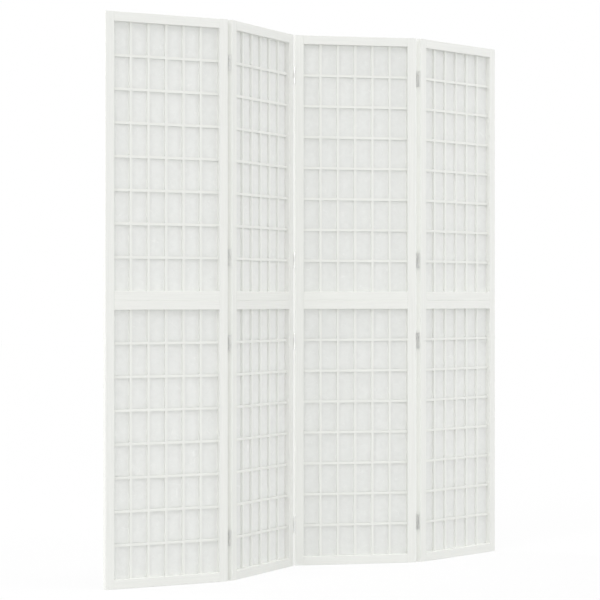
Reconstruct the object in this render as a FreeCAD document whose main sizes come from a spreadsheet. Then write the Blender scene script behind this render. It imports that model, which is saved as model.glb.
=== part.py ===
"""Folding room divider: four lattice panels with paper behind, zigzagged on butt hinges.

Millimetres, +Z up. The front of the screen faces -Y, and +X runs from the outer edge of panel 1
to that of panel 4. The origin is on the floor, at the middle of the standing screen's box.
A panel's own frame has x across it from its left edge, y from its front face to its back
and z up from the floor.
"""
import FreeCAD, Part
import Sketcher
import math
import os

# Driving dimensions, in millimetres and degrees
SIZES = {
    "panel_width": 400,
    "half_height": 850,
    "frame_thickness": 20,
    "stile_width": 28,
    "rail_height": 28,
    "edge_chamfer": 0.8,
    "rebate_width": 8,
    "rebate_depth": 3.5,
    "tenon_length": 15,
    "tenon_thickness": 7,
    "tenon_height": 18,
    "tenon_front": 5,
    "joint_clearance": 0.1,
    "tongue_width": 40,
    "tongue_depth": 14,
    "tongue_spacing": 200,
    "bar_width": 8,
    "bar_depth": 7,
    "lath_depth": 3.5,
    "column_count": 6,
    "row_count": 8,
    "paper_thickness": 0.4,
    "paper_margin": 0.5,
    "bead_gap": 0.2,
    "hinge_height": 50,
    "hinge_end_distance": 130,
    "leaf_reach": 16,
    "leaf_thickness": 1.3,
    "pin_diameter": 2.9,
    "pin_clearance": 0.05,
    "pin_offset": 1,
    "edge_clearance": 0.3,
    "knuckle_gap": 0.2,
    "knuckle_flat_count": 12,
    "first_fold_angle": 34,
    "second_fold_angle": 50.6,
    "third_fold_angle": 36,
}

# Sizes worked out from the driving dimensions, as expressions on the sheet
INNER_WIDTH = "(Sizes.panel_width - 2 * Sizes.stile_width)"
INNER_HEIGHT = "(Sizes.half_height - 2 * Sizes.rail_height)"
COLUMN_PITCH = f"({INNER_WIDTH} / Sizes.column_count)"
ROW_PITCH = f"({INNER_HEIGHT} / Sizes.row_count)"
PAPER_FRONT = "(Sizes.frame_thickness - Sizes.rebate_depth)"
LATTICE_FRONT = f"({PAPER_FRONT} - Sizes.bar_depth)"
BEAD_FRONT = f"({PAPER_FRONT} + Sizes.paper_thickness)"
REBATE_LEFT = "(Sizes.stile_width - Sizes.rebate_width)"
REBATE_BOTTOM = "(Sizes.rail_height - Sizes.rebate_width)"
REBATE_WIDE = f"({INNER_WIDTH} + 2 * Sizes.rebate_width)"
REBATE_TALL = f"({INNER_HEIGHT} + 2 * Sizes.rebate_width)"
TENON_BOTTOM = "((Sizes.rail_height - Sizes.tenon_height) / 2)"
TONGUE_LEFTS = [
    f"((Sizes.panel_width {sign} Sizes.tongue_spacing - Sizes.tongue_width) / 2)" for sign in ("-", "+")
]
BORE_RADIUS = "(Sizes.pin_diameter / 2 + Sizes.pin_clearance)"
KNUCKLE_RADIUS = f"({BORE_RADIUS} + Sizes.leaf_thickness)"
HALF_GAP = f"({KNUCKLE_RADIUS} + Sizes.edge_clearance)"
KNUCKLE_HEIGHT = "(Sizes.hinge_height / 3)"
HINGE_BOTTOM = "(Sizes.hinge_end_distance - Sizes.half_height - Sizes.hinge_height / 2)"
HINGE_SPACING = "(Sizes.half_height - 2 * Sizes.hinge_end_distance)"
HINGES_PER_HALF = "2"
HALVES = "2"

doc = FreeCAD.newDocument("folding_room_divider")
sheet = doc.addObject("Spreadsheet::Sheet", "Sizes")
for row, (alias, value) in enumerate(SIZES.items(), 1):
    sheet.set(f"A{row}", alias)
    sheet.set(f"B{row}", str(value))
    sheet.setAlias(f"B{row}", alias)
doc.recompute()

subparts = []


def new_body(label, placement):
    """A sub-part of the screen: its label names its file."""
    body = doc.addObject("PartDesign::Body", label)
    body.Label = label
    body.Placement = placement
    subparts.append(body)
    return body


def origin_plane(body, role):
    return next(feature for feature in body.Origin.OriginFeatures if feature.Role == role)


def new_sketch(body, role, lift="0"):
    """A sketch on one of the body's origin planes, lifted along the plane's normal.

    The normal is +Z on XY_Plane, -Y on XZ_Plane and +X on YZ_Plane.
    """
    sketch = body.newObject("Sketcher::SketchObject", "Sketch")
    sketch.AttachmentSupport = [(origin_plane(body, role), "")]
    sketch.MapMode = "FlatFace"
    sketch.setExpression("AttachmentOffset.Base.z", lift)
    return sketch


def bind(sketch, kind, *points, size):
    """Add a constraint whose value is an expression on the sheet."""
    index = sketch.addConstraint(Sketcher.Constraint(kind, *points, 1.0))
    sketch.setExpression(f"Constraints[{index}]", size)


def rectangle(sketch, left, bottom, wide, tall):
    """A rectangle in the sketch, with its lower left corner and its sides given as expressions."""
    first = sketch.GeometryCount
    corners = [FreeCAD.Vector(x, y) for x, y in ((1, 1), (2, 1), (2, 2), (1, 2))]
    for start, end in zip(corners, corners[1:] + corners[:1]):
        sketch.addGeometry(Part.LineSegment(start, end))
    for side in range(4):
        direction = "Vertical" if side % 2 else "Horizontal"
        sketch.addConstraint(Sketcher.Constraint(direction, first + side))
        sketch.addConstraint(Sketcher.Constraint("Coincident", first + side, 2, first + (side + 1) % 4, 1))
    bind(sketch, "DistanceX", -1, 1, first, 1, size=left)
    bind(sketch, "DistanceY", -1, 1, first, 1, size=bottom)
    bind(sketch, "DistanceX", first, 1, first, 2, size=wide)
    bind(sketch, "DistanceY", first + 1, 1, first + 1, 2, size=tall)


def outline(sketch, points):
    """A closed outline of straight sides through points given as pairs of expressions."""
    first = sketch.GeometryCount
    sides = len(points)
    for turn in range(sides):
        angles = [2 * math.pi * corner / sides for corner in (turn, turn + 1)]
        start, end = (FreeCAD.Vector(math.cos(angle), math.sin(angle)) for angle in angles)
        sketch.addGeometry(Part.LineSegment(start, end))
    for number, (x, y) in enumerate(points):
        side = first + number
        following = first + (number + 1) % sides
        sketch.addConstraint(Sketcher.Constraint("Coincident", side, 2, following, 1))
        bind(sketch, "DistanceX", -1, 1, side, 1, size=x)
        bind(sketch, "DistanceY", -1, 1, side, 1, size=y)


def knuckle_outline(sketch, radius, around=False):
    """The round of a hinge's knuckle or of its bore, drawn with a few flats.

    The corners lie on the circle, or the flats go around it.
    """
    flats = int(sheet.get("knuckle_flat_count"))
    swell = 1 / math.cos(math.pi / flats) if around else 1
    corners = []
    for corner in range(flats):
        angle = 2 * math.pi * (corner + 0.5) / flats
        corners.append((f"{swell * math.cos(angle)} * {radius}", f"{swell * math.sin(angle)} * {radius}"))
    outline(sketch, corners)


def extrude(body, kind, sketch, length, reverse=False):
    """A pad along the sketch's normal, or a pocket against it, unless reversed."""
    feature = body.newObject(f"PartDesign::{kind}", kind)
    feature.Profile = sketch
    feature.Reversed = reverse
    feature.setExpression("Length", length)
    body.Tip = feature
    return feature


def repeat(body, originals, role, pitch, count):
    """Copies of the features along the normal of an origin plane."""
    pattern = body.newObject("PartDesign::LinearPattern", "LinearPattern")
    pattern.Originals = originals
    pattern.Direction = (origin_plane(body, role), [""])
    pattern.setExpression("Length", f"{pitch} * ({count} - 1)")
    pattern.setExpression("Occurrences", count)
    body.Tip = pattern
    return pattern


def repeat_at_hinges(body, originals):
    """Copies of the features at the four hinges of one fold, from the lowest one up."""
    pattern = repeat(body, originals, "XY_Plane", HINGE_SPACING, HINGES_PER_HALF)
    pattern.Direction2 = (origin_plane(body, "XY_Plane"), [""])
    pattern.setExpression("Length2", "Sizes.half_height")
    pattern.setExpression("Occurrences2", HALVES)


def stile(label, placement):
    """A stile, drawn as the lower left one.

    It is mortised for two rails and rebated at the inner back for the paper.
    """
    body = new_body(label, placement)
    section = new_sketch(body, "XY_Plane")
    outline(section, [
        ("Sizes.edge_chamfer", "0"),
        ("Sizes.stile_width - Sizes.edge_chamfer", "0"),
        ("Sizes.stile_width", "Sizes.edge_chamfer"),
        ("Sizes.stile_width", "Sizes.frame_thickness"),
        ("Sizes.edge_chamfer", "Sizes.frame_thickness"),
        ("0", "Sizes.frame_thickness - Sizes.edge_chamfer"),
        ("0", "Sizes.edge_chamfer"),
    ])
    extrude(body, "Pad", section, "Sizes.half_height")
    rebate = new_sketch(body, "XZ_Plane", "-Sizes.frame_thickness")
    rectangle(rebate, REBATE_LEFT, REBATE_BOTTOM, "Sizes.rebate_width", REBATE_TALL)
    extrude(body, "Pocket", rebate, "Sizes.rebate_depth", reverse=True)
    mortises = new_sketch(body, "YZ_Plane", "Sizes.stile_width")
    for bottom in (TENON_BOTTOM, f"(Sizes.half_height - Sizes.rail_height + {TENON_BOTTOM})"):
        rectangle(
            mortises,
            "Sizes.tenon_front - Sizes.joint_clearance",
            f"{bottom} - Sizes.joint_clearance",
            "Sizes.tenon_thickness + 2 * Sizes.joint_clearance",
            "Sizes.tenon_height + 2 * Sizes.joint_clearance",
        )
    extrude(body, "Pocket", mortises, "Sizes.tenon_length + Sizes.joint_clearance")


def rails(label, placement):
    """The two rails of a half frame, drawn as the upper half.

    The lower rail is mortised for the joining tongues.
    """
    body = new_body(label, placement)
    upper_rail_bottom = "(Sizes.half_height - Sizes.rail_height)"
    lower_rail = ("0", "Sizes.rail_height", 1)
    upper_rail = ("Sizes.half_height", upper_rail_bottom, -1)
    faces = new_sketch(body, "YZ_Plane", "Sizes.stile_width")
    for outer, inner, inward in (lower_rail, upper_rail):
        outline(faces, [
            ("0", f"{outer} + {inward} * Sizes.edge_chamfer"),
            ("Sizes.edge_chamfer", outer),
            ("Sizes.frame_thickness - Sizes.edge_chamfer", outer),
            ("Sizes.frame_thickness", f"{outer} + {inward} * Sizes.edge_chamfer"),
            ("Sizes.frame_thickness", inner),
            ("Sizes.edge_chamfer", inner),
            ("0", f"{inner} - {inward} * Sizes.edge_chamfer"),
        ])
    extrude(body, "Pad", faces, INNER_WIDTH)
    rebates = new_sketch(body, "XZ_Plane", "-Sizes.frame_thickness")
    rectangle(rebates, "Sizes.stile_width", REBATE_BOTTOM, INNER_WIDTH, "Sizes.rebate_width")
    rectangle(rebates, "Sizes.stile_width", upper_rail_bottom, INNER_WIDTH, "Sizes.rebate_width")
    extrude(body, "Pocket", rebates, "Sizes.rebate_depth", reverse=True)
    tenons = new_sketch(body, "YZ_Plane", "Sizes.stile_width - Sizes.tenon_length")
    for bottom in (TENON_BOTTOM, f"{upper_rail_bottom} + {TENON_BOTTOM}"):
        rectangle(tenons, "Sizes.tenon_front", bottom, "Sizes.tenon_thickness", "Sizes.tenon_height")
    extrude(body, "Pad", tenons, f"{INNER_WIDTH} + 2 * Sizes.tenon_length")
    mortises = new_sketch(body, "XY_Plane")
    for left in TONGUE_LEFTS:
        rectangle(
            mortises,
            f"{left} - Sizes.joint_clearance",
            "Sizes.tenon_front - Sizes.joint_clearance",
            "Sizes.tongue_width + 2 * Sizes.joint_clearance",
            "Sizes.tenon_thickness + 2 * Sizes.joint_clearance",
        )
    extrude(body, "Pocket", mortises, "Sizes.tongue_depth + Sizes.joint_clearance", reverse=True)


def joining_tongues(label, placement):
    """Two loose tongues, half in each middle rail."""
    body = new_body(label, placement)
    section = new_sketch(body, "XY_Plane", "Sizes.half_height - Sizes.tongue_depth")
    for left in TONGUE_LEFTS:
        rectangle(section, left, "Sizes.tenon_front", "Sizes.tongue_width", "Sizes.tenon_thickness")
    extrude(body, "Pad", section, "2 * Sizes.tongue_depth")


def first_crossbars(sketch):
    """The lowest crossbar of each half, as rectangles across the opening."""
    bottom = f"(Sizes.rail_height + {ROW_PITCH} - Sizes.bar_width / 2)"
    for rise in ("0", "Sizes.half_height"):
        rectangle(sketch, "Sizes.stile_width", f"{bottom} + {rise}", INNER_WIDTH, "Sizes.bar_width")


def lattice_uprights(label, placement):
    """The uprights of both halves, notched at the front for the crossbars."""
    body = new_body(label, placement)
    bars = new_sketch(body, "XZ_Plane", f"-{LATTICE_FRONT}")
    left = f"Sizes.stile_width + {COLUMN_PITCH} - Sizes.bar_width / 2"
    for rise in ("0", "Sizes.half_height"):
        rectangle(bars, left, f"Sizes.rail_height + {rise}", "Sizes.bar_width", INNER_HEIGHT)
    upright = extrude(body, "Pad", bars, "Sizes.bar_depth", reverse=True)
    repeat(body, [upright], "YZ_Plane", COLUMN_PITCH, "(Sizes.column_count - 1)")
    housings = new_sketch(body, "XZ_Plane", f"-{LATTICE_FRONT}")
    first_crossbars(housings)
    notch = extrude(body, "Pocket", housings, "Sizes.lath_depth")
    repeat(body, [notch], "XY_Plane", ROW_PITCH, "(Sizes.row_count - 1)")


def lattice_crossbars(label, placement):
    """The crossbars of both halves: laths let into the uprights, flush with their fronts."""
    body = new_body(label, placement)
    laths = new_sketch(body, "XZ_Plane", f"-{LATTICE_FRONT}")
    first_crossbars(laths)
    crossbar = extrude(body, "Pad", laths, "Sizes.lath_depth", reverse=True)
    repeat(body, [crossbar], "XY_Plane", ROW_PITCH, "(Sizes.row_count - 1)")


def paper(label, placement):
    """A sheet of paper in the rebate of a half frame, drawn as the lower one."""
    body = new_body(label, placement)
    sheet_outline = new_sketch(body, "XZ_Plane", f"-{PAPER_FRONT}")
    rectangle(
        sheet_outline,
        f"{REBATE_LEFT} + Sizes.paper_margin",
        f"{REBATE_BOTTOM} + Sizes.paper_margin",
        f"{REBATE_WIDE} - 2 * Sizes.paper_margin",
        f"{REBATE_TALL} - 2 * Sizes.paper_margin",
    )
    extrude(body, "Pad", sheet_outline, "Sizes.paper_thickness", reverse=True)


def retaining_beads(label, placement):
    """The beads that hold the paper in its rebate: two upright and two level ones in each half."""
    body = new_body(label, placement)
    strips = new_sketch(body, "XZ_Plane", f"-{BEAD_FRONT}")
    left = f"{REBATE_LEFT} + Sizes.bead_gap"
    bottom = f"{REBATE_BOTTOM} + Sizes.bead_gap"
    width = "Sizes.rebate_width - Sizes.bead_gap"
    upright = f"{REBATE_TALL} - 2 * Sizes.bead_gap"
    level = f"{INNER_WIDTH} - 2 * Sizes.bead_gap"
    for x in (left, f"Sizes.stile_width + {INNER_WIDTH}"):
        rectangle(strips, x, bottom, width, upright)
    for y in (bottom, f"Sizes.rail_height + {INNER_HEIGHT}"):
        rectangle(strips, "Sizes.stile_width + Sizes.bead_gap", y, level, width)
    beads = extrude(body, "Pad", strips, "Sizes.rebate_depth - Sizes.paper_thickness", reverse=True)
    repeat(body, [beads], "XY_Plane", "Sizes.half_height", HALVES)


def hinge_leaves(label, placement, freed_knuckles):
    """The four leaves on one edge of a panel, drawn round the pin's axis at mid height.

    They lie on the -x side of the pin with the panel towards -y. freed_knuckles are the thirds of
    the height, counted from the bottom, that are cut away for the other leaf's knuckles.
    """
    body = new_body(label, placement)
    plate = new_sketch(body, "XY_Plane", HINGE_BOTTOM)
    rectangle(plate, f"-{HALF_GAP}", "-Sizes.leaf_reach", "Sizes.leaf_thickness", "Sizes.leaf_reach")
    leaf = extrude(body, "Pad", plate, "Sizes.hinge_height")
    rolled_edge = new_sketch(body, "XY_Plane", HINGE_BOTTOM)
    knuckle_outline(rolled_edge, KNUCKLE_RADIUS)
    knuckles = extrude(body, "Pad", rolled_edge, "Sizes.hinge_height")
    hole = new_sketch(body, "XY_Plane", HINGE_BOTTOM)
    knuckle_outline(hole, BORE_RADIUS, around=True)
    bore = extrude(body, "Pocket", hole, "Sizes.hinge_height", reverse=True)
    room = new_sketch(body, "XZ_Plane", HALF_GAP)
    for third in freed_knuckles:
        rectangle(
            room,
            f"-{HALF_GAP}",
            f"{HINGE_BOTTOM} + {third} * {KNUCKLE_HEIGHT} - Sizes.knuckle_gap / 2",
            f"2 * {HALF_GAP}",
            f"{KNUCKLE_HEIGHT} + Sizes.knuckle_gap",
        )
    gaps = extrude(body, "Pocket", room, f"2 * {HALF_GAP}")
    repeat_at_hinges(body, [leaf, knuckles, bore, gaps])


def hinge_pins(label, placement):
    """The pins of one fold's four hinges."""
    body = new_body(label, placement)
    section = new_sketch(body, "XY_Plane", HINGE_BOTTOM)
    section.addGeometry(Part.Circle())
    section.addConstraint(Sketcher.Constraint("Coincident", 0, 3, -1, 1))
    bind(section, "Diameter", 0, size="Sizes.pin_diameter")
    pin = extrude(body, "Pad", section, "Sizes.hinge_height")
    repeat_at_hinges(body, [pin])


def worked_out(expression):
    """The number that an expression on the sheet gives."""
    return float(sheet.evalExpression(expression))


def plan_point(x, y):
    return FreeCAD.Vector(x, y, 0)


def turned(point, degrees):
    return FreeCAD.Rotation(FreeCAD.Vector(0, 0, 1), degrees).multVec(point)


def standing_plan():
    """Each panel's front left corner and angle in plan, and the place of each fold's pins.

    The zigzag runs along X and is centred on the origin.
    """
    width = sheet.get("panel_width")
    thickness = sheet.get("frame_thickness")
    gap = worked_out(HALF_GAP)
    behind = thickness + sheet.get("pin_offset")
    before = -sheet.get("pin_offset")
    folds = [
        (sheet.get("first_fold_angle"), behind),
        (-sheet.get("second_fold_angle"), before),
        (sheet.get("third_fold_angle"), behind),
    ]
    corners = [plan_point(0, 0)]
    angles = [0.0]
    pins = []
    for fold, pin_depth in folds:
        pins.append(corners[-1] + turned(plan_point(width + gap, pin_depth), angles[-1]))
        angles.append(angles[-1] + fold)
        corners.append(pins[-1] - turned(plan_point(-gap, pin_depth), angles[-1]))
    chord = corners[-1] + turned(plan_point(width, 0), angles[-1])
    lean = -math.degrees(math.atan2(chord.y, chord.x))
    ease = sheet.get("edge_chamfer")
    section = [plan_point(x, y) for x in (ease, width - ease) for y in (0, thickness)]
    section += [plan_point(x, y) for x in (0, width) for y in (ease, thickness - ease)]
    footprint = [
        turned(corner + turned(point, angle), lean)
        for corner, angle in zip(corners, angles)
        for point in section
    ]
    middle = plan_point(
        (min(point.x for point in footprint) + max(point.x for point in footprint)) / 2,
        (min(point.y for point in footprint) + max(point.y for point in footprint)) / 2,
    )
    panels = [(turned(corner, lean) - middle, angle + lean) for corner, angle in zip(corners, angles)]
    return panels, [turned(pin, lean) - middle for pin in pins]


def make_panel(name, corner, angle):
    """The pieces of one panel."""
    place = FreeCAD.Placement(corner, FreeCAD.Rotation(FreeCAD.Vector(0, 0, 1), angle))
    half_height = sheet.get("half_height")
    raised = place * FreeCAD.Placement(FreeCAD.Vector(0, 0, half_height), FreeCAD.Rotation())
    end_for_end = FreeCAD.Placement(
        FreeCAD.Vector(sheet.get("panel_width"), 0, half_height),
        FreeCAD.Rotation(FreeCAD.Vector(0, 1, 0), 180),
    )
    stile(f"{name}_lower_left_stile", place)
    stile(f"{name}_lower_right_stile", place * end_for_end)
    stile(f"{name}_upper_left_stile", raised)
    stile(f"{name}_upper_right_stile", raised * end_for_end)
    rails(f"{name}_lower_rails", place * end_for_end)
    rails(f"{name}_upper_rails", raised)
    joining_tongues(f"{name}_joining_tongues", place)
    lattice_uprights(f"{name}_lattice_uprights", place)
    lattice_crossbars(f"{name}_lattice_crossbars", place)
    paper(f"{name}_lower_paper", place)
    paper(f"{name}_upper_paper", raised)
    retaining_beads(f"{name}_retaining_beads", place)


def make_hinges(number, pin, left_angle, right_angle, at_front):
    """The hinges of the fold between panel number and the next, with the pin at the front or the back."""
    centre = pin + FreeCAD.Vector(0, 0, sheet.get("half_height"))
    over = FreeCAD.Rotation(FreeCAD.Vector(1, 0, 0), 180) if at_front else FreeCAD.Rotation()
    across = FreeCAD.Rotation(FreeCAD.Vector(0, 1, 0), 180)
    left = FreeCAD.Placement(centre, FreeCAD.Rotation(FreeCAD.Vector(0, 0, 1), left_angle) * over)
    right = FreeCAD.Placement(centre, FreeCAD.Rotation(FreeCAD.Vector(0, 0, 1), right_angle) * over * across)
    hinge_leaves(f"panel_{number}_right_hinge_leaves", left, freed_knuckles=(1,))
    hinge_leaves(f"panel_{number + 1}_left_hinge_leaves", right, freed_knuckles=(0, 2))
    hinge_pins(f"hinge_pins_{number}_{number + 1}", FreeCAD.Placement(centre, FreeCAD.Rotation()))


panels, pins = standing_plan()
for number, (corner, angle) in enumerate(panels, 1):
    make_panel(f"panel_{number}", corner, angle)
for number, pin in enumerate(pins, 1):
    make_hinges(number, pin, panels[number - 1][1], panels[number][1], at_front=number == 2)
doc.recompute()

failed = [item.Label for item in doc.Objects if {"Invalid", "Error"} & set(item.State)]
failed += [body.Label for body in subparts if body.Shape.isNull() or not body.Shape.isValid()]
if failed:
    raise RuntimeError(f"these did not build: {failed}")

os.makedirs("parts", exist_ok=True)
for body in subparts:
    body.Shape.exportStep(f"parts/{body.Label}.step")
for number, (corner, angle) in enumerate(panels, 1):
    print(f"panel {number}: front left corner at {corner.x:.3f}, {corner.y:.3f}, turned {angle:.3f}")
for number, pin in enumerate(pins, 1):
    print(f"fold {number}: pins at {pin.x:.3f}, {pin.y:.3f}")
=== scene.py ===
"""Looks of a white folding screen: painted lattice panels with paper behind, on plated butt hinges."""

import math
import random

import bpy
from mathutils import Matrix, Vector


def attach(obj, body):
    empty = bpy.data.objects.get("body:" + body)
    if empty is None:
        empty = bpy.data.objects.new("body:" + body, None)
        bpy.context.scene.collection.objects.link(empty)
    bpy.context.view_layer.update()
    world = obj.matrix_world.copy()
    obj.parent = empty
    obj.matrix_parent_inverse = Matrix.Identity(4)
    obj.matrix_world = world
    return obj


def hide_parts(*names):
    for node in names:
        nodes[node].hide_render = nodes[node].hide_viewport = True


MM = 0.001
PANELS = (1, 2, 3, 4)
HALVES = ("lower", "upper")

# The lattice that the paper is glued to, in each half of a panel
COLUMNS = 6
ROWS = 8

# The paper, how far it reaches under the frame, and its cockles, each at least a share of the deepest
PAPER_THICKNESS = 0.2 * MM
PAPER_MARGIN = 7.5 * MM
COCKLE_DEPTH = 0.35 * MM
COCKLE_LEAST_SHARE = 0.4
COCKLE_LENGTH = 21 * MM
GRID_PER_COLUMN = 16
GRID_PER_ROW = 10

# The folds, by the panel on their left, and whether their pins are at the front
PIN_AT_FRONT = {1: False, 2: True, 3: False}

# The hinges and their screws
HALF_HEIGHT = 850 * MM
HINGE_END_DISTANCE = 130 * MM
LEAF_THICKNESS = 1.3 * MM
SCREW_SPACING = 30 * MM
SCREW_EDGE_DISTANCE = 6 * MM
SCREW_HEAD_RADIUS = 2.9 * MM
SCREW_HEAD_RISE = 0.45 * MM
SCREW_SINK = 0.3 * MM
SCREW_SIDES = 24
SCREW_ROUNDING = 0.8 * SCREW_HEAD_RISE
SCREW_ROUNDING_STEPS = 3
RECESS_LENGTH = 3.4 * MM
RECESS_WIDTH = 0.8 * MM
RECESS_DEPTH = 0.35 * MM

# The sizes of the patterns in the finishes, and half a fibre's width in the values of its noise
LONG_GRAIN = 160 * MM
CROSS_GRAIN = 3.5 * MM
ORANGE_PEEL = 2.5 * MM
PULP_CLOUD = 14 * MM
FIBRE_SPACING = 38 * MM
FIBRE_LENGTH = 30 * MM
FIBRE_HALF_WIDTH = 0.012
PLATING_CLOUD = 9 * MM
RUB_WIDTH = 0.7 * MM
RUB_LENGTH = 12 * MM
FLECK_WIDTH = 1 * MM
FLECK_LENGTH = 8 * MM

# The camera, level at half the screen's height
LENS = 124.03
CAMERA_PLACE = (-4.0298, -5.1726, 0.851)
CAMERA_YAW = 37.665

# The light: an even surround and broad suns, each with the way to it and its strength
AMBIENT = 0.53
SUN_ANGLE = 25
SUNS = {
    "front": ((-0.6, -0.79, 0.15), 0.52),
    "high_left": ((-0.75, -0.3, 0.6), 0.56),
    "high_right": ((0.5, -0.6, 0.6), 0.41),
    "low_right": ((0.9, -0.4, 0.2), 0.26),
    "back": ((-0.5, 0.82, 0.25), 1.25),
    "top": ((0, -0.1, 1), 1.0),
}

# The floor: its width in metres, its colour for light and to the eye, and how much of the look is plain white
FLOOR_WIDTH = 60
FLOOR_FOR_LIGHT = "#DADADA"
FLOOR_TO_THE_EYE = "#EDEDED"
FLOOR_WHITENESS = 0.85

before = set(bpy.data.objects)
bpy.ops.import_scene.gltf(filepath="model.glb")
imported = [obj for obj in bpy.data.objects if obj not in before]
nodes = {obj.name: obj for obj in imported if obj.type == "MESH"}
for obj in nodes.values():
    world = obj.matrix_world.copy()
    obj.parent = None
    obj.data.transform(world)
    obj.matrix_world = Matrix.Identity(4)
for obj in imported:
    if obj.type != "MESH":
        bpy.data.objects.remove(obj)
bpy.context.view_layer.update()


def linear(hex_colour):
    """An sRGB hex colour as linear red, green, blue and alpha."""
    channels = [int(hex_colour[start:start + 2], 16) / 255 for start in (1, 3, 5)]
    return [c / 12.92 if c <= 0.04045 else ((c + 0.055) / 1.055) ** 2.4 for c in channels] + [1.0]


def add_node(tree, kind, settings=None, values=None, links=None, stops=()):
    """A node with its settings, its sockets' values, the outputs linked into it and a ramp's colours."""
    node = tree.nodes.new(kind)
    for name, value in (settings or {}).items():
        setattr(node, name, value)
    for socket, value in (values or {}).items():
        node.inputs[socket].default_value = value
    for socket, source in (links or {}).items():
        tree.links.new(source, node.inputs[socket])
    for number, (place, colour) in enumerate(stops):
        node.color_ramp.elements[number].position = place
        node.color_ramp.elements[number].color = linear(colour)
    return node


def new_material(name, values):
    """A material with one Principled shader, whose even values are set on its own sockets."""
    material = bpy.data.materials.new(name)
    material.use_nodes = True
    tree = material.node_tree
    tree.nodes.clear()
    shader = add_node(tree, "ShaderNodeBsdfPrincipled", values=values)
    add_node(tree, "ShaderNodeOutputMaterial", links={"Surface": shader.outputs["BSDF"]})
    return material, tree, shader


def pattern_space(tree, turn, sizes):
    """Object coordinates turned to a panel and divided by a pattern's real sizes along its three axes."""
    place = add_node(tree, "ShaderNodeTexCoord")
    turned = add_node(
        tree, "ShaderNodeMapping",
        values={"Rotation": (0, 0, -turn)}, links={"Vector": place.outputs["Object"]},
    )
    return add_node(
        tree, "ShaderNodeMapping",
        values={"Scale": [1 / size for size in sizes]}, links={"Vector": turned.outputs["Vector"]},
    ).outputs["Vector"]


def painted_wood(name, turn, grain_sizes):
    """Softwood under sprayed satin paint: an even ivory white with a soft sheen.

    The grain shows through the paint as long faint streaks, drawn wider than real grain so that they
    show at all, and the spray leaves a fine orange peel.
    """
    material, tree, shader = new_material(name, {"IOR": 1.5})
    grain = add_node(
        tree, "ShaderNodeTexNoise", values={"Scale": 1, "Detail": 4, "Roughness": 0.6},
        links={"Vector": pattern_space(tree, turn, grain_sizes)},
    ).outputs["Fac"]
    peel = add_node(
        tree, "ShaderNodeTexNoise", values={"Scale": 1, "Detail": 2},
        links={"Vector": pattern_space(tree, turn, [ORANGE_PEEL] * 3)},
    ).outputs["Fac"]
    colour = add_node(
        tree, "ShaderNodeValToRGB", links={"Fac": grain}, stops=((0.3, "#E8E9E5"), (0.7, "#EEEFEB")),
    ).outputs["Color"]
    roughness = add_node(
        tree, "ShaderNodeMapRange", values={"To Min": 0.38, "To Max": 0.5}, links={"Value": peel},
    ).outputs["Result"]
    relief = add_node(
        tree, "ShaderNodeBump", values={"Strength": 0.25, "Distance": 0.08 * MM}, links={"Height": peel},
    )
    relief = add_node(
        tree, "ShaderNodeBump", values={"Strength": 0.4, "Distance": 0.15 * MM},
        links={"Height": grain, "Normal": relief.outputs["Normal"]},
    )
    tree.links.new(colour, shader.inputs["Base Color"])
    tree.links.new(roughness, shader.inputs["Roughness"])
    tree.links.new(relief.outputs["Normal"], shader.inputs["Normal"])
    return material


def screen_paper(name, turn):
    """Fibrous white paper, as laid on a mould: matte, a little cool, cloudy where the pulp lies thicker.

    Long fibres lie in it as fine curved threads, drawn wider than real ones so that they show. It lets
    light through, so from behind the uprights show on it as soft shadows.
    """
    material, tree, shader = new_material(name, {
        "Roughness": 0.85,
        "Specular IOR Level": 0.2,
        "Subsurface Weight": 0.85,
        "Subsurface Radius": (1, 1, 1),
        "Subsurface Scale": 0.3 * MM,
    })
    cloud = add_node(
        tree, "ShaderNodeTexNoise", values={"Scale": 1, "Detail": 3, "Roughness": 0.55},
        links={"Vector": pattern_space(tree, turn, [PULP_CLOUD] * 3)},
    ).outputs["Fac"]
    strands = add_node(
        tree, "ShaderNodeTexNoise", values={"Scale": 1, "Detail": 1, "Distortion": 1.2},
        links={"Vector": pattern_space(tree, turn, [FIBRE_SPACING] * 3)},
    ).outputs["Fac"]
    off_line = add_node(
        tree, "ShaderNodeMath", {"operation": "SUBTRACT"}, values={1: 0.5}, links={0: strands},
    ).outputs["Value"]
    distance = add_node(
        tree, "ShaderNodeMath", {"operation": "ABSOLUTE"}, links={0: off_line},
    ).outputs["Value"]
    fibre = add_node(
        tree, "ShaderNodeMapRange", values={"From Max": FIBRE_HALF_WIDTH, "To Min": 1, "To Max": 0},
        links={"Value": distance},
    ).outputs["Result"]
    stretch = add_node(
        tree, "ShaderNodeTexNoise", values={"Scale": 1, "Detail": 0},
        links={"Vector": pattern_space(tree, turn, [FIBRE_LENGTH] * 3)},
    ).outputs["Fac"]
    kept = add_node(
        tree, "ShaderNodeMapRange", values={"From Min": 0.45, "From Max": 0.6}, links={"Value": stretch},
    ).outputs["Result"]
    thread = add_node(
        tree, "ShaderNodeMath", {"operation": "MULTIPLY"}, links={0: fibre, 1: kept},
    ).outputs["Value"]
    pulp = add_node(
        tree, "ShaderNodeValToRGB", links={"Fac": cloud}, stops=((0.3, "#E2E3E1"), (0.7, "#E6E7E5")),
    ).outputs["Color"]
    colour = add_node(
        tree, "ShaderNodeMix", {"data_type": "RGBA"}, values={"B": linear("#EAEBE9")},
        links={"Factor": thread, "A": pulp},
    ).outputs["Result"]
    relief = add_node(
        tree, "ShaderNodeBump", values={"Strength": 0.3, "Distance": 0.1 * MM}, links={"Height": cloud},
    )
    relief = add_node(
        tree, "ShaderNodeBump", values={"Strength": 0.35, "Distance": 0.12 * MM},
        links={"Height": thread, "Normal": relief.outputs["Normal"]},
    )
    tree.links.new(colour, shader.inputs["Base Color"])
    tree.links.new(relief.outputs["Normal"], shader.inputs["Normal"])
    return material


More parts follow.
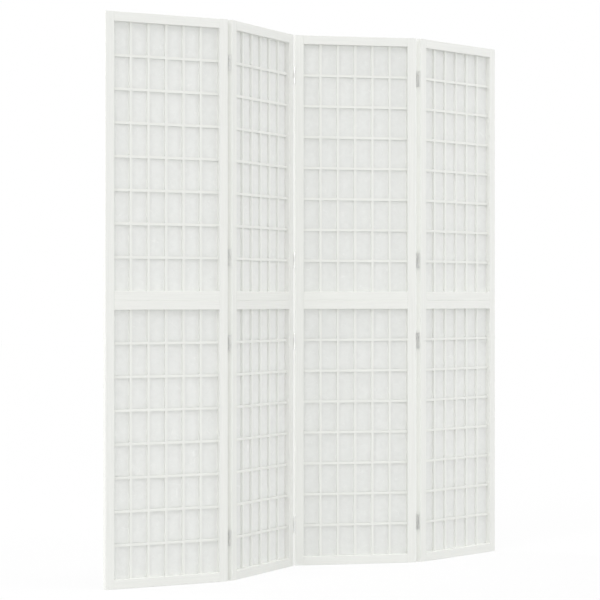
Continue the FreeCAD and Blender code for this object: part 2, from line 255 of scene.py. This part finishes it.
def plated_steel():
    """Pressed steel with bright zinc plating: a soft grey mirror, clouded by the bath, lightly rubbed."""
    material, tree, shader = new_material("zinc_plated_steel", {"Metallic": 1.0})
    cloud = add_node(
        tree, "ShaderNodeTexNoise", values={"Scale": 1, "Detail": 4},
        links={"Vector": pattern_space(tree, 0, [PLATING_CLOUD] * 3)},
    ).outputs["Fac"]
    rub = add_node(
        tree, "ShaderNodeTexNoise", values={"Scale": 1, "Detail": 2},
        links={"Vector": pattern_space(tree, 0, [RUB_WIDTH, RUB_WIDTH, RUB_LENGTH])},
    ).outputs["Fac"]
    colour = add_node(
        tree, "ShaderNodeValToRGB", links={"Fac": cloud}, stops=((0.3, "#E1E2E2"), (0.7, "#EBEBE8")),
    ).outputs["Color"]
    roughness = add_node(
        tree, "ShaderNodeMapRange", values={"To Min": 0.26, "To Max": 0.46}, links={"Value": rub},
    ).outputs["Result"]
    relief = add_node(
        tree, "ShaderNodeBump", values={"Strength": 0.2, "Distance": 0.05 * MM}, links={"Height": rub},
    )
    tree.links.new(colour, shader.inputs["Base Color"])
    tree.links.new(roughness, shader.inputs["Roughness"])
    tree.links.new(relief.outputs["Normal"], shader.inputs["Normal"])
    return material


def bare_beech():
    """Planed beech with no finish: pale brown with short darker flecks along the grain."""
    material, tree, shader = new_material("bare_beech", {"Roughness": 0.6, "IOR": 1.5})
    fleck = add_node(
        tree, "ShaderNodeTexNoise", values={"Scale": 1, "Detail": 3},
        links={"Vector": pattern_space(tree, 0, [FLECK_WIDTH, FLECK_WIDTH, FLECK_LENGTH])},
    ).outputs["Fac"]
    colour = add_node(
        tree, "ShaderNodeValToRGB", links={"Fac": fleck}, stops=((0.35, "#C29B6D"), (0.65, "#D9B88C")),
    ).outputs["Color"]
    relief = add_node(
        tree, "ShaderNodeBump", values={"Strength": 0.3, "Distance": 0.1 * MM}, links={"Height": fleck},
    )
    tree.links.new(colour, shader.inputs["Base Color"])
    tree.links.new(relief.outputs["Normal"], shader.inputs["Normal"])
    return material


def panel_turn(panel):
    """A panel's angle about Z, from the large faces of its paper."""
    faces = nodes[f"panel_{panel}_lower_paper"].data.polygons
    across = max(faces, key=lambda face: face.area).normal
    return math.atan(-across.x / across.y)


def turned_box(node, turn):
    """The lowest and highest corner of a node in a frame turned about Z with its panel."""
    back = Matrix.Rotation(-turn, 3, "Z")
    points = [back @ vertex.co for vertex in nodes[node].data.vertices]
    low = Vector(min(point[axis] for point in points) for axis in range(3))
    high = Vector(max(point[axis] for point in points) for axis in range(3))
    return low, high


def pick(*pieces):
    """Select these objects and nothing else, with the first one active."""
    bpy.ops.object.select_all(action="DESELECT")
    for piece in pieces:
        piece.select_set(True)
    bpy.context.view_layer.objects.active = pieces[0]


def apply_place(piece):
    """Put an object's place, turn and scale into its mesh."""
    pick(piece)
    bpy.ops.object.transform_apply(location=True, rotation=True, scale=True)


def turn_with_panel(piece, turn):
    """Turn a piece about the origin from a panel's turned frame into the row's frame."""
    piece.rotation_euler.z = turn
    apply_place(piece)


def apply_modifier(piece, kind, **settings):
    """Finish a piece with a modifier and apply it."""
    pick(piece)
    modifier = piece.modifiers.new(kind.lower(), kind)
    for name, value in settings.items():
        setattr(modifier, name, value)
    bpy.ops.object.modifier_apply(modifier=modifier.name)


def dress(piece, material):
    """Give a piece one material and no other."""
    piece.data.materials.clear()
    piece.data.materials.append(material)


def paper_sheet(panel, half, material):
    """A sheet of paper, glued to the backs of the lattice bars and cockled a little between them."""
    node = f"panel_{panel}_{half}_paper"
    turn = panel_turn(panel)
    low, high = turned_box(node, turn)
    size = high - low
    bpy.ops.object.select_all(action="DESELECT")
    bpy.ops.mesh.primitive_grid_add(
        x_subdivisions=COLUMNS * GRID_PER_COLUMN,
        y_subdivisions=ROWS * GRID_PER_ROW,
        size=1,
        location=((low.x + high.x) / 2, low.y, (low.z + high.z) / 2),
        rotation=(math.radians(90), 0, 0),
    )
    piece = bpy.context.object
    piece.name = f"panel_{panel}_{half}_paper_sheet"
    piece.scale = (size.x, size.z, 1)
    apply_place(piece)
    cell_width = (size.x - 2 * PAPER_MARGIN) / COLUMNS
    cell_height = (size.z - 2 * PAPER_MARGIN) / ROWS
    draw = random.Random(node)
    phases = [[draw.uniform(0, 2 * math.pi) for row in range(ROWS)] for column in range(COLUMNS)]
    shares = [[draw.uniform(COCKLE_LEAST_SHARE, 1) for row in range(ROWS)] for column in range(COLUMNS)]
    for vertex in piece.data.vertices:
        across = (vertex.co.x - low.x - PAPER_MARGIN) / cell_width
        up = (vertex.co.z - low.z - PAPER_MARGIN) / cell_height
        if not (0 < across < COLUMNS and 0 < up < ROWS):
            continue
        column, row = int(across), int(up)
        freedom = math.sin(math.pi * across) ** 2 * math.sin(math.pi * up) ** 2
        angle = 2 * math.pi * (across - column) * cell_width / COCKLE_LENGTH + phases[column][row]
        wave = (1 - math.cos(angle)) / 2
        vertex.co.y += COCKLE_DEPTH * shares[column][row] * freedom * wave
    apply_modifier(piece, "SOLIDIFY", thickness=PAPER_THICKNESS, offset=-1)
    bpy.ops.object.shade_smooth_by_angle()
    turn_with_panel(piece, turn)
    dress(piece, material)
    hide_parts(node)
    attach(piece, f"panel_{panel}")


def screw_head():
    """The raised head of a countersunk screw with a cross recess, facing +X at the origin."""
    bpy.ops.object.select_all(action="DESELECT")
    bpy.ops.mesh.primitive_cylinder_add(
        vertices=SCREW_SIDES,
        radius=SCREW_HEAD_RADIUS,
        depth=SCREW_HEAD_RISE + SCREW_SINK,
        location=((SCREW_HEAD_RISE - SCREW_SINK) / 2, 0, 0),
        rotation=(0, math.radians(90), 0),
    )
    head = bpy.context.object
    head.name = "screw_head"
    apply_place(head)
    bpy.ops.object.mode_set(mode="EDIT")
    bpy.ops.mesh.select_all(action="DESELECT")
    bpy.ops.object.mode_set(mode="OBJECT")
    # The end that faces out
    for face in head.data.polygons:
        face.select = face.normal.x > 0.9
    bpy.ops.object.mode_set(mode="EDIT")
    bpy.ops.mesh.bevel(offset=SCREW_ROUNDING, segments=SCREW_ROUNDING_STEPS)
    bpy.ops.object.mode_set(mode="OBJECT")
    for width, height in ((RECESS_LENGTH, RECESS_WIDTH), (RECESS_WIDTH, RECESS_LENGTH)):
        bpy.ops.object.select_all(action="DESELECT")
        bpy.ops.mesh.primitive_cube_add(size=1, location=(SCREW_HEAD_RISE, 0, 0))
        cutter = bpy.context.object
        cutter.scale = (2 * RECESS_DEPTH, width, height)
        apply_place(cutter)
        apply_modifier(head, "BOOLEAN", object=cutter, operation="DIFFERENCE")
        bpy.data.objects.remove(cutter)
    pick(head)
    bpy.ops.object.shade_smooth_by_angle()
    return head


def hinge_screws(panel, side, pin_at_front, head, material):
    """Two screws in each hinge leaf on one edge of a panel."""
    turn = panel_turn(panel)
    low, high = turned_box(f"panel_{panel}_{side}_hinge_leaves", turn)
    on_right = side == "right"
    face = low.x + LEAF_THICKNESS if on_right else high.x - LEAF_THICKNESS
    depth = high.y - SCREW_EDGE_DISTANCE if pin_at_front else low.y + SCREW_EDGE_DISTANCE
    copies = []
    for half_bottom in (0, HALF_HEIGHT):
        for centre in (HINGE_END_DISTANCE, HALF_HEIGHT - HINGE_END_DISTANCE):
            for step in (-0.5, 0.5):
                copy = head.copy()
                copy.data = head.data.copy()
                bpy.context.collection.objects.link(copy)
                copy.location = (face, depth, half_bottom + centre + step * SCREW_SPACING)
                copy.rotation_euler.z = 0 if on_right else math.pi
                copies.append(copy)
    pick(*copies)
    bpy.ops.object.join()
    screws = bpy.context.object
    screws.name = f"panel_{panel}_{side}_hinge_screws"
    apply_place(screws)
    turn_with_panel(screws, turn)
    dress(screws, material)
    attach(screws, f"panel_{panel}")


def seen_directly(tree):
    """1 where the camera, a reflection or a see-through surface looks at something, and 0 for its light."""
    path = add_node(tree, "ShaderNodeLightPath")
    mirrored = add_node(
        tree, "ShaderNodeMath", {"operation": "ADD"},
        links={0: path.outputs["Is Camera Ray"], 1: path.outputs["Is Glossy Ray"]},
    )
    return add_node(
        tree, "ShaderNodeMath", {"operation": "ADD", "use_clamp": True},
        links={0: mirrored.outputs["Value"], 1: path.outputs["Is Transmission Ray"]},
    ).outputs["Value"]


def white_surround():
    """An even pale surround: it lights softly from all sides and is plain white to look at."""
    world = bpy.data.worlds.new("studio")
    bpy.context.scene.world = world
    world.use_nodes = True
    tree = world.node_tree
    tree.nodes.clear()
    light = add_node(tree, "ShaderNodeBackground", values={"Color": linear("#FFFFFF"), "Strength": AMBIENT})
    white = add_node(tree, "ShaderNodeBackground", values={"Color": linear("#FFFFFF"), "Strength": 1.0})
    mixed = add_node(
        tree, "ShaderNodeMixShader",
        links={0: seen_directly(tree), 1: light.outputs["Background"], 2: white.outputs["Background"]},
    )
    add_node(tree, "ShaderNodeOutputWorld", links={"Surface": mixed.outputs["Shader"]})


def white_floor():
    """A plain floor that looks white and keeps a faint shadow of the screen.

    It sends back the light of a pale grey floor, so that the screen is lit from above more than from below.
    """
    bpy.ops.object.select_all(action="DESELECT")
    bpy.ops.mesh.primitive_plane_add(size=FLOOR_WIDTH)
    floor = bpy.context.object
    floor.name = "floor"
    material = bpy.data.materials.new("pale_floor")
    material.use_nodes = True
    tree = material.node_tree
    tree.nodes.clear()
    seen = seen_directly(tree)
    colour = add_node(
        tree, "ShaderNodeMix", {"data_type": "RGBA"},
        values={"A": linear(FLOOR_FOR_LIGHT), "B": linear(FLOOR_TO_THE_EYE)}, links={"Factor": seen},
    ).outputs["Result"]
    lit = add_node(tree, "ShaderNodeBsdfDiffuse", links={"Color": colour})
    white = add_node(tree, "ShaderNodeEmission", values={"Color": linear("#FFFFFF"), "Strength": 1.0})
    share = add_node(
        tree, "ShaderNodeMath", {"operation": "MULTIPLY"},
        values={1: FLOOR_WHITENESS}, links={0: seen},
    )
    mixed = add_node(
        tree, "ShaderNodeMixShader",
        links={0: share.outputs["Value"], 1: lit.outputs["BSDF"], 2: white.outputs["Emission"]},
    )
    add_node(tree, "ShaderNodeOutputMaterial", links={"Surface": mixed.outputs["Shader"]})
    dress(floor, material)


def broad_sun(name, way, strength):
    """A far soft light, even over the whole screen, that comes from one way."""
    data = bpy.data.lights.new(name, "SUN")
    data.angle = math.radians(SUN_ANGLE)
    data.energy = strength
    light = bpy.data.objects.new(name, data)
    bpy.context.collection.objects.link(light)
    light.rotation_euler = Vector(way).to_track_quat("Z", "Y").to_euler()


def level_camera():
    """The camera of the photograph: level, at half the screen's height and to its left."""
    data = bpy.data.cameras.new("camera")
    data.lens = LENS
    camera = bpy.data.objects.new("camera", data)
    bpy.context.collection.objects.link(camera)
    camera.location = CAMERA_PLACE
    camera.rotation_euler = (math.radians(90), 0, math.radians(-CAMERA_YAW))
    bpy.context.scene.camera = camera


upright_grain = (CROSS_GRAIN, CROSS_GRAIN, LONG_GRAIN)
level_grain = (LONG_GRAIN, CROSS_GRAIN, CROSS_GRAIN)
upright_wood = painted_wood("painted_wood_upright", 0, upright_grain)
steel = plated_steel()
beech = bare_beech()
for panel in PANELS:
    turn = panel_turn(panel)
    level_wood = painted_wood(f"painted_wood_level_{panel}", turn, level_grain)
    paper = screen_paper(f"screen_paper_{panel}", turn)
    for name, node in nodes.items():
        if name.startswith(f"panel_{panel}_"):
            if name.endswith(("rails", "crossbars")):
                dress(node, level_wood)
            elif name.endswith("tongues"):
                dress(node, beech)
            elif name.endswith("leaves"):
                dress(node, steel)
            else:
                dress(node, upright_wood)
    for half in HALVES:
        paper_sheet(panel, half, paper)
for name, node in nodes.items():
    if name.startswith("hinge_pins"):
        dress(node, steel)

head = screw_head()
for left_panel, pin_at_front in PIN_AT_FRONT.items():
    hinge_screws(left_panel, "right", pin_at_front, head, steel)
    hinge_screws(left_panel + 1, "left", pin_at_front, head, steel)
bpy.data.objects.remove(head)

white_surround()
white_floor()
for name, (way, strength) in SUNS.items():
    broad_sun(name, way, strength)
level_camera()
bpy.context.scene.view_settings.view_transform = "Standard"
